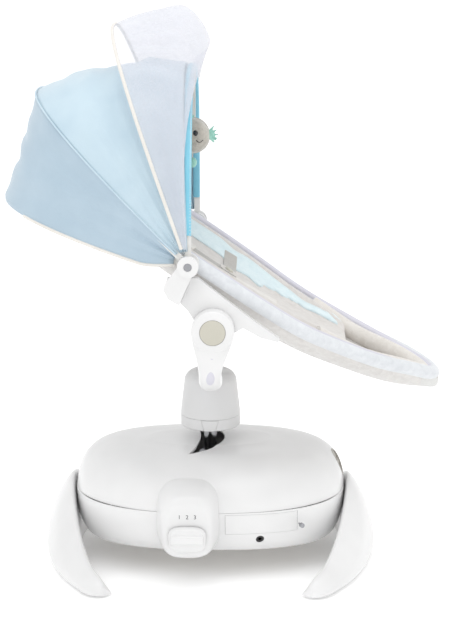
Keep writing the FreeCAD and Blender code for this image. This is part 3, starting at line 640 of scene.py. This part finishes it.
class SWING_OT_canopy(bpy.types.Operator):
    """Sews the canopy over its bows: two panels, the seam, the front binding, its stitches and the piping"""
    bl_idname = "swing.canopy"
    bl_label = "Canopy"

    def execute(self, context):
        sizes = context.scene.swing_sizes
        rear = laid_grid("canopy-rear", 150, 36, lambda u, v: rear_point(u, v, sizes),
                         MATERIALS["canopy_rear"], (0.95, 0.22))
        front = laid_grid("canopy-front", 150, 48, lambda u, v: front_point(u, v, sizes),
                          MATERIALS["canopy"], (0.95, 0.26))
        for piece in (rear, front):
            modify(piece, "SOLIDIFY", thickness=sizes.canopy_thick, offset=1.0)
            settle(piece).data.shade_smooth()
        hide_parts("canopy_rear_panel")
        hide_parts("canopy_front_panel")
        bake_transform(rear)
        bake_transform(front)

        seam = cord_of("canopy-seam", [arch(MID[0], MID[1] + 0.0052, MID[2] + 0.0042, trimmed(i / 40))
                                       for i in range(41)], 0.0016, MATERIALS["canopy"])
        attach(seam, "mid_bow")
        binding = laid_grid("canopy-binding", 150, 24, lambda u, v: binding_point(u, v, sizes),
                            MATERIALS["binding"], (0.9, 0.04), wrap=True)
        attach(binding, "front_bow")
        stitches = bmesh.new()
        for i in range(STITCHES):
            u = (i + 0.5) / STITCHES
            here, ahead = (binding_point(place, STITCH_LINE, sizes) for place in (u, u + 0.002))
            proud = outward(here, trimmed(u)) * 0.0004
            turn = (ahead - here).to_track_quat("X", "Z").to_matrix().to_4x4()
            turn.translation = here + proud
            made = bmesh.ops.create_icosphere(stitches, subdivisions=1, radius=0.0006, matrix=turn)
            bmesh.ops.scale(stitches, vec=(2.2, 1, 0.8), space=turn.inverted(), verts=made["verts"])
        row = finish_mesh("binding-stitches", stitches, True, MATERIALS["thread"])
        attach(row, "front_bow")
        for side, name in ((0, "near"), (1, "far")):
            line = [rear_point(side + (1 - 2 * side) * k / 24 * PIPED_SHARE, 0.0, sizes) for k in range(25)]
            edge = cord_of("canopy-piping-" + name, line, 0.0026, MATERIALS["cream"])
            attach(edge, "seat")
        return {"FINISHED"}


# --- net ------------------------------------------------------------------------------------
PLEAT_TURN = 88             # radians of pleating over the arch, which is 14 pleats
HOOP_BINDING = 0.0029       # radius of the binding round the net's hoop


def net_stations(crown):
    """Angle, radius and half-width of five arches: hoop, slope, puff, fold and front bow.

    crown is 0 at the legs and 1 at the apex, where the net folds forward over the bow.
    """
    half = NET[2] + 0.002
    bow = math.degrees(FRONT[0]) + 3.5
    hoop = (NET[0], NET[1] + 0.001, half)
    slope = (math.radians(102.0 - 3 * crown), 0.383, half)
    puff = (math.radians(96.0 - 5 * crown), 0.360 + 0.026 * crown, half - 0.001)
    fold = (math.radians(bow - 8.5 * crown), FRONT[1] + 0.014 + 0.026 * crown, FRONT[2] + 0.009)
    edge = (math.radians(bow - 4.0 * crown), FRONT[1] + 0.010, FRONT[2] + 0.006)
    return [hoop, slope, puff, fold, edge]


def net_point(u, v, sizes):
    """A point on the net: a Catmull-Rom curve through its stations, then pleats and puffs."""
    share = trimmed(u)
    crown = max(0.0, math.sin(math.pi * share)) ** 2
    stations = net_stations(crown)
    place = v * (len(stations) - 1)
    low = min(int(place), len(stations) - 2)
    part = place - low
    before, after = stations[max(low - 1, 0)], stations[min(low + 2, len(stations) - 1)]
    here, ahead = stations[low], stations[low + 1]
    mixed = [h + 0.5 * part * (a - b + part * (2 * b - 5 * h + 4 * a - f + part * (3 * (h - a) + f - b)))
             for b, h, a, f in zip(before, here, ahead, after)]
    point = arch(*mixed, share)
    away = outward(point, share)
    pleat = math.sin(share * PLEAT_TURN + 4 * noise.noise(Vector((share * 5, v * 2, 0.3))))
    puff = noise.noise(Vector((share * 6, v * 2.6, 4.2)))
    lift = math.sin(math.pi * min(v * 1.5, 1.0)) * sizes.net_pleat * (0.65 * pleat + 1.3 * puff * crown)
    return point + away * lift


class SWING_OT_net(bpy.types.Operator):
    """Gathers the insect net between its hoop and the front bow, and binds it round the hoop"""
    bl_idname = "swing.net"
    bl_label = "Insect net"

    def execute(self, context):
        sizes = context.scene.swing_sizes
        net = laid_grid("net", 180, 44, lambda u, v: net_point(u, v, sizes), MATERIALS["net"], (1.0, 0.25))
        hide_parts("insect_net")
        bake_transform(net)
        line = [arch(NET[0], NET[1] + 0.001, NET[2] + 0.003, 0.01 + 0.98 * i / 48) for i in range(49)]
        binding = cord_of("net-binding", line, HOOP_BINDING, MATERIALS["cream"])
        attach(binding, "net_hoop")
        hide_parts("net_hoop")
        return {"FINISHED"}


# --- seat -----------------------------------------------------------------------------------
RIM_DEEP = 0.012                  # points this far below the rim's top belong to it
RIM_CLOTH = 0.007                 # the rim's own cloth reaches this far down
ROLL_DROP = 0.008                 # the rolls' middles lie this far below the rim's top
FOOT_FROM = COLUMN_X + 0.16       # the foot roll's start
FOOT_CLOTH = COLUMN_X + 0.358     # the foot end's jersey starts here
FOOT_INSET, FOOT_NARROW = 0.020, 0.80    # the foot roll against the rim, in length and width
FOOT_ROLL = 0.016                 # radius of the foot roll


def rim_heights(mesh, step=0.02):
    """Height of the seat's rim, by distance along the seat, run straight between its highest points."""
    peaks = {}
    for vert in mesh.vertices:
        slot = round(vert.co.x / step)
        if slot not in peaks or vert.co.z > peaks[slot].z:
            peaks[slot] = vert.co.copy()
    line = sorted(peaks.values(), key=lambda peak: peak.x)

    def height(x):
        for here, ahead in zip(line, line[1:]):
            if x <= ahead.x:
                share = max(0.0, (x - here.x) / max(ahead.x - here.x, 1e-6))
                return here.z + (ahead.z - here.z) * share
        return line[-1].z
    return height


def rim_line(mesh, height, sectors=72):
    """Middle of the rim's flat top, as a loop of points round the seat."""
    low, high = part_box("seat_sling")
    middle = (low.x + high.x) / 2
    found = [[] for _ in range(sectors)]
    for vert in mesh.vertices:
        if vert.co.z > height(vert.co.x) - RIM_DEEP:
            turn = math.atan2(vert.co.y * 1.6, vert.co.x - middle) / (2 * math.pi) % 1.0
            found[int(turn * sectors) % sectors].append(vert.co)
    return [sum(group, Vector()) / len(group) for group in found if group]


def relax(points, rounds=3):
    """Evens out a closed loop of points."""
    for _ in range(rounds):
        points = [(points[i - 1] + points[i] * 2 + points[(i + 1) % len(points)]) / 4
                  for i in range(len(points))]
    return points


def seat_finish(face, height):
    """Which cloth a face of the seat cover is: 0 cover, 1 lining, 2 rim, 3 foot end."""
    centre = face.calc_center_median()
    drop = height(centre.x) - centre.z
    inside = face.normal.dot(Vector((centre.x, 0, height(centre.x) + 0.03)) - centre) > 0.0
    if drop < RIM_CLOTH:
        return 2
    if inside:
        return 1
    return 3 if centre.x > FOOT_CLOTH else 0


class SWING_OT_seat(bpy.types.Operator):
    """Upholsters the seat: padded cover and lining in four cloths, the rim roll and the foot roll"""
    bl_idname = "swing.seat"
    bl_label = "Seat cover"

    def execute(self, context):
        sizes = context.scene.swing_sizes
        cover = merged_copy("seat_sling", "seat-cover")
        height = rim_heights(cover.data)
        rim = relax(rim_line(cover.data, height))
        plump(cover, 0.006, 2.0, 0.006, 0.001)
        for name in ("velour", "lining", "rim", "foot"):
            cover.data.materials.append(MATERIALS[name])
        bm = bmesh.new()
        bm.from_mesh(cover.data)
        for face in bm.faces:
            face.material_index = seat_finish(face, height)
        bm.to_mesh(cover.data)
        bm.free()
        modify(cover, "SUBSURF", levels=1)
        settle(cover).data.shade_smooth()
        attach(cover, "seat")
        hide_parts("seat_sling")
        roll = cord_of("rim-roll", [p - Vector((0, 0, ROLL_DROP)) for p in rim], sizes.rim_roll,
                       MATERIALS["rim"], cyclic=True, sides=6)
        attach(roll, "seat")
        inner = [Vector((p.x - FOOT_INSET * min(1.0, max(0.0, (p.x - FOOT_FROM) / 0.1)),
                         p.y * FOOT_NARROW, p.z - ROLL_DROP)) for p in rim if p.x > FOOT_FROM]
        inner.sort(key=lambda p: math.atan2(p.y, p.x - FOOT_FROM + 0.02))
        roll = cord_of("foot-roll", inner, FOOT_ROLL, MATERIALS["pad"], sides=6)
        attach(roll, "seat")
        return {"FINISHED"}


# --- pads and harness -----------------------------------------------------------------------
BAND_FROM, BAND_TO = COLUMN_X - 0.19, COLUMN_X + 0.32
BAND_WIDTH, BAND_SINK = 0.024, 0.0016     # the aqua band, and how far it stands off the wall
STRAP_THICK, PAD_THICK = 0.0022, 0.006


def wall_point(walls, height, side, u, v):
    """A point just inside the seat's wall or pad, v of the way down the aqua band."""
    x = BAND_FROM + (BAND_TO - BAND_FROM) * u
    z = height(x) - RIM_CLOTH - BAND_WIDTH * v
    found = [wall.ray_cast(Vector((x, 0, z)), Vector((0, side, 0))) for wall in walls]
    reach = min([abs(place.y) for hit, place, _, _ in found if hit] or [0.05])
    return Vector((x, side * (reach - BAND_SINK), z))


def drop_on(piece, x, y, rise):
    """The point over (x, y) that lies on a piece's upper surface, lifted a little."""
    hit, place, _, _ = piece.ray_cast(Vector((x, y, 1.0)), Vector((0, 0, -1)))
    return place + Vector((0, 0, rise)) if hit else None


def laid_strap(name, piece, ends, width, thick, material, rise=0.0025):
    """Flat webbing laid on a pad from one end to the other, given as (x, y) pairs."""
    (x0, y0), (x1, y1) = ends
    run = Vector((x1 - x0, y1 - y0, 0))
    side = Vector((-run.y, run.x, 0)).normalized() * width / 2
    floor = drop_on(piece, (x0 + x1) / 2, (y0 + y1) / 2, rise)

    def place(u, v):
        here = Vector((x0, y0, 0)) + run * v + side * (2 * u - 1)
        return drop_on(piece, here.x, here.y, rise) or Vector((here.x, here.y, floor.z))

    band = laid_grid(name, 6, 28, place, material, (width, run.length))
    modify(band, "SMOOTH", factor=0.5, iterations=4)
    modify(band, "SOLIDIFY", thickness=thick, offset=1.0)
    modify(band, "BEVEL", affect="EDGES", segments=2, profile=0.5, material=-1, width=thick * 0.3)
    settle(band).data.shade_smooth()
    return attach(band, "seat")


class SWING_OT_pads(bpy.types.Operator):
    """Fills the seat: body pad, head pad, aqua band, harness straps and buckle button"""
    bl_idname = "swing.pads"
    bl_label = "Pads and harness"

    def execute(self, context):
        sizes = context.scene.swing_sizes
        insert = merged_copy("seat_insert", "body-pad")
        plump(insert, 0.006, 3.0, 0.007, 0.002)
        dress(insert, MATERIALS["insert"])
        pillow = merged_copy("head_pillow", "head-pad")
        plump(pillow, 0.004, 3.0, 0.005, 0.001)
        dress(pillow, MATERIALS["pad"])
        for piece, node, kind in ((insert, "seat_insert", "insert_grey"),
                                  (pillow, "head_pillow", "cream_pad")):
            modify(piece, "SUBSURF", levels=1)
            settle(piece).data.shade_smooth()
            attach(piece, "seat")
            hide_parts(node)
        walls, height = (bpy.data.objects["seat-cover"], insert), rim_heights(NODES["seat_sling"].data)
        for name, side in (("near", -1), ("far", 1)):
            band = laid_grid("aqua-band-" + name, 90, 8, lambda u, v: wall_point(walls, height, side, u, v),
                             MATERIALS["aqua"], (0.5, BAND_WIDTH))
            modify(band, "SMOOTH", factor=0.5, iterations=6)
            modify(band, "SOLIDIFY", thickness=0.0014, offset=0.0)
            settle(band).data.shade_smooth()
            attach(band, "seat")
        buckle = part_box("harness_buckle")
        bx = (buckle[0].x + buckle[1].x) / 2
        for side, name in ((-1, "near"), (1, "far")):
            shoulder = laid_strap("shoulder-strap-" + name, insert,
                                  ((bx - 0.150, side * 0.046), (bx - 0.008, side * 0.020)),
                                  sizes.webbing, STRAP_THICK, MATERIALS["webbing"])
            waist = laid_strap("waist-strap-" + name, insert,
                               ((bx + 0.004, side * 0.105), (bx + 0.002, side * 0.016)),
                               sizes.webbing, STRAP_THICK, MATERIALS["webbing"])
            laid_strap("shoulder-pad-" + name, insert,
                               ((bx - 0.140, side * 0.045), (bx - 0.055, side * 0.030)),
                               sizes.webbing * 1.5, PAD_THICK, MATERIALS["pad"], 0.005)
            if side < 0:
                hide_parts("shoulder_straps")
                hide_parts("waist_straps")
        crotch = laid_strap("crotch-strap", insert, ((bx + 0.085, 0.0), (bx + 0.010, 0.0)),
                            sizes.webbing * 1.2, 0.005, MATERIALS["pad"])
        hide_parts("crotch_strap")
        bm = bmesh.new()
        top = (buckle[0] + buckle[1]) / 2
        turn = Matrix.Rotation(math.radians(33), 4, "Y")
        made = bmesh.ops.create_cone(bm, cap_ends=True, segments=32, radius1=0.008, radius2=0.007,
                                     depth=0.003)
        for vert in made["verts"]:
            vert.co = turn @ (vert.co + Vector((0, 0, 0.0050))) + top
        push = finish_mesh("buckle-button", bm, True, MATERIALS["button"])
        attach(push, "seat")
        return {"FINISHED"}


# --- hanging toy ----------------------------------------------------------------------------
PLUSH_FULLNESS = 1.14             # how far the stuffed body stands past its plain solid
RIBBON_WIDTH = 0.011


def lump(name, scale, place, material, detail=4, waves=0.0):
    """A stuffed shape: an icosphere scaled and slightly uneven."""
    bm = bmesh.new()
    bmesh.ops.create_icosphere(bm, subdivisions=detail, radius=1.0)
    for vert in bm.verts:
        uneven = 1 + waves * noise.noise(vert.co * 2.2)
        vert.co = Vector([c * s * uneven for c, s in zip(vert.co, scale)]) + place
    return finish_mesh(name, bm, True, material)


def fin(name, outline, thick, centre, material):
    """A flat stuffed fin: an outline in XZ, filled, thickened and rounded."""
    bm = bmesh.new()
    verts = [bm.verts.new(centre + Vector((x, 0, z))) for x, z in outline]
    bm.faces.new(verts)
    bmesh.ops.triangulate(bm, faces=bm.faces)
    piece = finish_mesh(name, bm, True, material)
    modify(piece, "SOLIDIFY", thickness=thick, offset=0.0)
    modify(piece, "REMESH", mode="VOXEL", voxel_size=0.0010)
    modify(piece, "SMOOTH", factor=0.5, iterations=5)
    settle(piece).data.shade_smooth()
    return piece


def spiky(count, reach, dip, first, last):
    """A fan of points about the origin, for a spiky tail."""
    turns = [first + (last - first) * i / (2 * count) for i in range(2 * count + 1)]
    rim = [(math.cos(t) * (reach if i % 2 else dip), math.sin(t) * (reach if i % 2 else dip))
           for i, t in enumerate(turns)]
    return [(0.0, 0.0)] + rim


class SWING_OT_toy(bpy.types.Operator):
    """Hangs the plush toy from the front bow"""
    bl_idname = "swing.toy"
    bl_label = "Hanging toy"

    def execute(self, context):
        low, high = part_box("plush_toy")
        centre, half = (low + high) / 2, (high - low) / 2 * PLUSH_FULLNESS
        body = lump("toy-body", half, centre, MATERIALS["plush"], 5, 0.05)
        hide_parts("plush_toy")
        tail = fin("toy-tail", spiky(5, 0.020, 0.009, -1.1, 1.1), 0.006,
                   centre + Vector((half.x * 0.85, 0, 0.002)), MATERIALS["mint"])
        crest = fin("toy-crest", spiky(3, 0.013, 0.007, 0.6, 2.5), 0.005,
                    centre + Vector((-0.004, 0, half.z * 0.84)), MATERIALS["mint"])
        leaf = lump("toy-leaf", (0.007, 0.0025, 0.0045), centre + Vector((-0.006, -half.y * 0.90, -0.009)),
                    MATERIALS["mint"], 3)
        eye = lump("toy-eye", (0.0042, 0.0024, 0.0048), centre + Vector((0.006, -half.y * 0.93, 0.007)),
                   MATERIALS["eye"], 3)
        smile = cord_of("toy-smile", [centre + Vector((0.007 + 0.011 * k / 6, -half.y * (0.94 - 0.030 * k),
                                                        -0.005 - 0.0035 * math.sin(math.pi * k / 6)))
                                      for k in range(7)], 0.0009, MATERIALS["eye"])
        seam = cord_of("toy-seam", [centre + Vector((half.x * math.cos(t), -0.0004, half.z * math.sin(t)))
                                    for t in (2 * math.pi * k / 40 for k in range(40))], 0.0008,
                       MATERIALS["plush"], cyclic=True)
        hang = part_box("toy_ribbon")
        ribbon = laid_grid("toy-ribbon", 6, 30, lambda u, v: Vector((
            (hang[0].x + hang[1].x) / 2 + (u - 0.5) * RIBBON_WIDTH,
            0.0012 * math.sin(v * 5.0) - 0.0005, hang[0].z - 0.002 + v * (hang[1].z - hang[0].z + 0.0022))),
            MATERIALS["cream"], (RIBBON_WIDTH, 0.08))
        modify(ribbon, "SOLIDIFY", thickness=0.0012, offset=0.0)
        settle(ribbon).data.shade_smooth()
        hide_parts("toy_ribbon")
        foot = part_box("toy_drop")
        drop = (foot[0] + foot[1]) / 2
        bead = lump("toy-bead", (0.0072, 0.0066, 0.0085), Vector((drop.x, 0, foot[0].z + 0.0085)),
                    MATERIALS["mint"], 4, 0.04)
        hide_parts("toy_drop")
        string = cord_of("toy-string", [Vector((drop.x, 0, foot[0].z + 0.014 + k * (low.z - foot[0].z) / 3))
                                        for k in range(3)], 0.0010, MATERIALS["cream"])
        for piece, kind in ((body, "plush_grey"), (tail, "mint"), (crest, "mint"), (leaf, "mint"),
                            (eye, "plush_grey"), (smile, "plush_grey"), (seam, "plush_grey"),
                            (ribbon, "ribbon_cream"), (bead, "mint"), (string, "ribbon_cream")):
            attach(piece, "toy")
        return {"FINISHED"}


# --- marks on the base ----------------------------------------------------------------------
DIGIT_Z = 0.1255                  # foot of the digits
FONT_SHARE = 1.45                 # size of a font against the height of its digits
RIBS, RIB_HALF, RIB_PITCH = 3, 0.018, 0.0042


class SWING_OT_marks(bpy.types.Operator):
    """Prints the digits over the slider and adds the slider's ribs"""
    bl_idname = "swing.marks"
    bl_label = "Marks and grips"

    def execute(self, context):
        sizes = context.scene.swing_sizes
        low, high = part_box("selector_pod")
        middle, slider = (low.x + high.x) / 2, JOINTS["selector_slide"]
        travel = slider["range_m"][1]
        for step in (-1, 0, 1):
            text = bpy.data.curves.new("digit", "FONT")
            text.body = str(step + 2)
            text.size = sizes.digit_height * FONT_SHARE
            text.align_x = "CENTER"
            text.extrude = 0.0001
            shape = bpy.data.objects.new("digit-line", text)
            context.scene.collection.objects.link(shape)
            graph = context.evaluated_depsgraph_get()
            mesh = bpy.data.meshes.new_from_object(shape.evaluated_get(graph))
            bpy.data.objects.remove(shape)
            stand = Matrix.Translation((middle + step * travel, low.y - 0.00005, DIGIT_Z))
            mesh.transform(stand @ Matrix.Rotation(math.pi / 2, 4, "X"))
            digit = bpy.data.objects.new("digit-%d" % (step + 2), mesh)
            context.scene.collection.objects.link(digit)
            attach(dress(digit, MATERIALS["ink"]), "base")
        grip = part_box("selector_slider")[0]
        for k in range(RIBS):
            line = [Vector((middle + RIB_HALF * (i / 8 - 0.5) * 2, grip.y + 0.0045,
                            grip.z + 0.010 + k * RIB_PITCH + 0.0035 * math.sin(math.pi * i / 8)))
                    for i in range(9)]
            rib = cord_of("slider-rib-%d" % (k + 1), line, 0.0012, MATERIALS["shell"])
            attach(rib, "selector_slider")
        return {"FINISHED"}


# --- add-on ---------------------------------------------------------------------------------
class SWING_PT_panel(bpy.types.Panel):
    """Sidebar with the swing's settings and build steps"""
    bl_idname = "SWING_PT_panel"
    bl_label = "Baby swing"
    bl_space_type = "VIEW_3D"
    bl_region_type = "UI"
    bl_category = "Baby swing"

    def draw(self, context):
        column = self.layout.column()
        for group in (context.scene.swing_colours, context.scene.swing_sizes):
            for name in group.__annotations__:
                column.prop(group, name)
        for step in STEPS:
            column.operator(step.bl_idname)


STEPS = (SWING_OT_finishes, SWING_OT_canopy, SWING_OT_net, SWING_OT_seat, SWING_OT_pads, SWING_OT_toy,
         SWING_OT_marks, SWING_OT_stage)
CLASSES = (SwingColours, SwingSizes) + STEPS + (SWING_PT_panel,)


def register():
    for kind in CLASSES:
        bpy.utils.register_class(kind)
    bpy.types.Scene.swing_colours = bpy.props.PointerProperty(type=SwingColours)
    bpy.types.Scene.swing_sizes = bpy.props.PointerProperty(type=SwingSizes)


def unregister():
    del bpy.types.Scene.swing_sizes
    del bpy.types.Scene.swing_colours
    for kind in reversed(CLASSES):
        bpy.utils.unregister_class(kind)


def main():
    """Builds the swing's dressing and stage."""
    register()
    bpy.ops.swing.finishes()
    bpy.ops.swing.canopy()
    bpy.ops.swing.net()
    bpy.ops.swing.seat()
    bpy.ops.swing.pads()
    bpy.ops.swing.toy()
    bpy.ops.swing.marks()
    bpy.ops.swing.stage()


if __name__ == "__main__":
    main()
